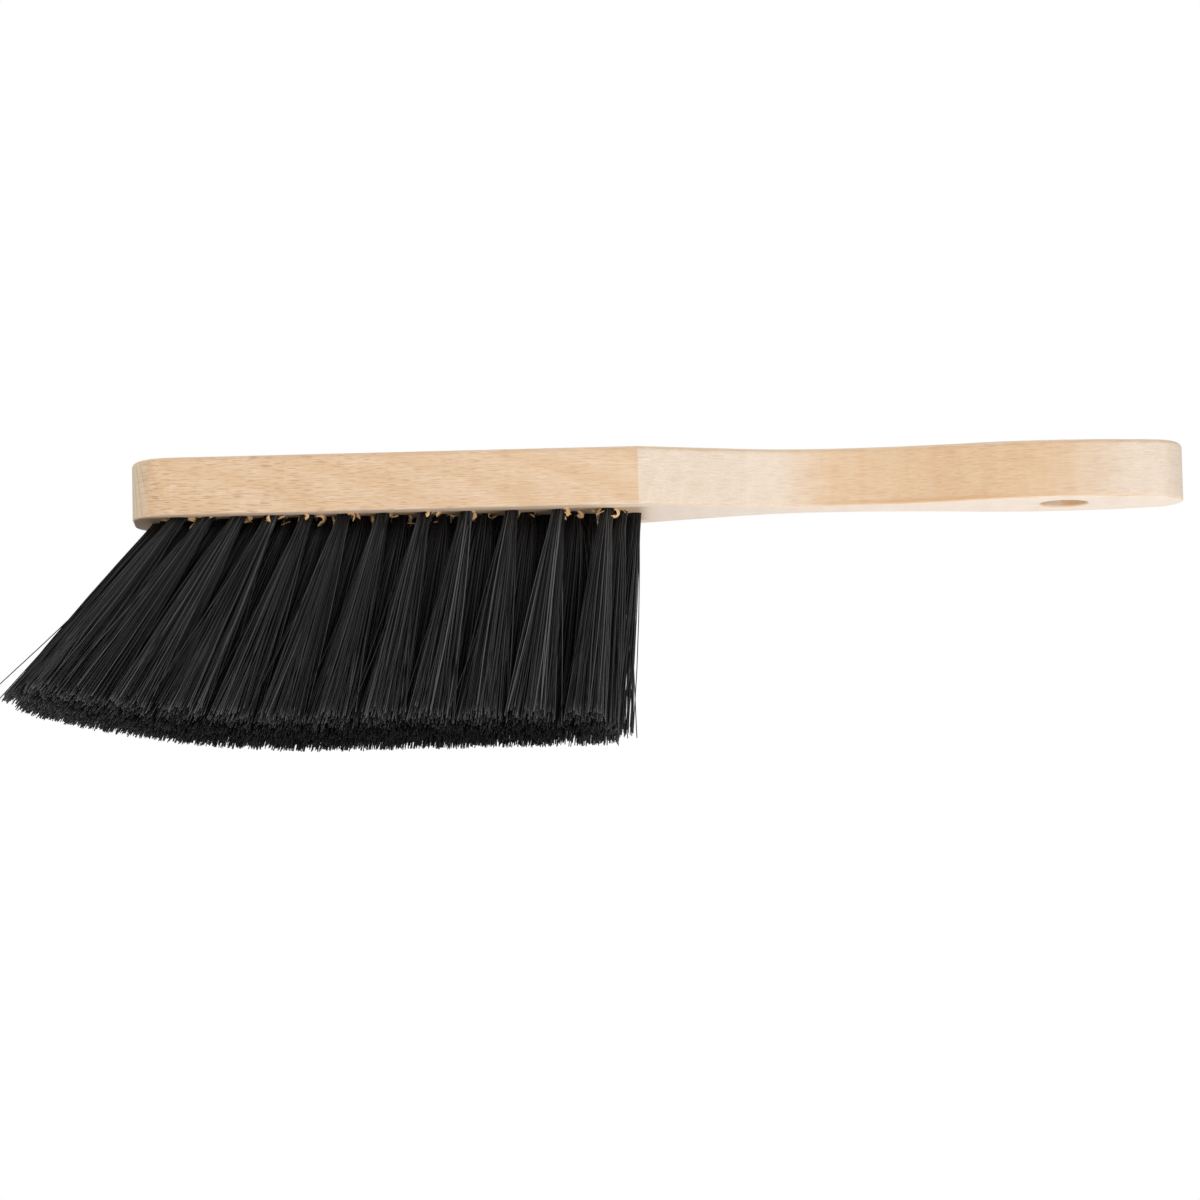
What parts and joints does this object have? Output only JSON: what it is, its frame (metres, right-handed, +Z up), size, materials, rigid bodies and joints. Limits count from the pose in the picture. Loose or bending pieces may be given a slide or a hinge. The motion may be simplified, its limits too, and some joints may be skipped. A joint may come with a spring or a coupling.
{
  "type": "hand broom",
  "caption": "Wooden hand broom with a flat shaped handle, a hanging hole and black bristle tufts that fan forwards past the nose.",
  "frame": {"origin": "on the floor under the bristle tips, half way between the foremost bristles and the handle's end", "axes": "+X towards the handle's end, +Z up from the bristle tips to the wood, +Y to the far side"},
  "size_m": [0.3266, 0.0622, 0.0787],
  "materials": {
    "beech": "sanded, unvarnished",
    "bristle": "extruded filament, slight sheen",
    "wire": "drawn wire"
  },
  "bodies": {
    "root": {"wooden_body": "beech", "wire_anchors": "wire", "tuft_near_outer_01": "bristle", "tuft_near_outer_02": "bristle", "tuft_near_outer_03": "bristle", "tuft_near_outer_04": "bristle", "tuft_near_outer_05": "bristle", "tuft_near_outer_06": "bristle", "tuft_near_outer_07": "bristle", "tuft_near_outer_08": "bristle", "tuft_near_outer_09": "bristle", "tuft_near_outer_10": "bristle", "tuft_near_outer_11": "bristle", "tuft_near_outer_12": "bristle", "tuft_near_inner_01": "bristle", "tuft_near_inner_02": "bristle", "tuft_near_inner_03": "bristle", "tuft_near_inner_04": "bristle", "tuft_near_inner_05": "bristle", "tuft_near_inner_06": "bristle", "tuft_near_inner_07": "bristle", "tuft_near_inner_08": "bristle", "tuft_near_inner_09": "bristle", "tuft_near_inner_10": "bristle", "tuft_near_inner_11": "bristle", "tuft_near_inner_12": "bristle", "tuft_near_inner_13": "bristle", "tuft_far_inner_01": "bristle", "tuft_far_inner_02": "bristle", "tuft_far_inner_03": "bristle", "tuft_far_inner_04": "bristle", "tuft_far_inner_05": "bristle", "tuft_far_inner_06": "bristle", "tuft_far_inner_07": "bristle", "tuft_far_inner_08": "bristle", "tuft_far_inner_09": "bristle", "tuft_far_inner_10": "bristle", "tuft_far_inner_11": "bristle", "tuft_far_inner_12": "bristle", "tuft_far_inner_13": "bristle", "tuft_far_outer_01": "bristle", "tuft_far_outer_02": "bristle", "tuft_far_outer_03": "bristle", "tuft_far_outer_04": "bristle", "tuft_far_outer_05": "bristle", "tuft_far_outer_06": "bristle", "tuft_far_outer_07": "bristle", "tuft_far_outer_08": "bristle", "tuft_far_outer_09": "bristle", "tuft_far_outer_10": "bristle", "tuft_far_outer_11": "bristle", "tuft_far_outer_12": "bristle", "tufts_middle": "bristle"}
  },
  "joints": []
}
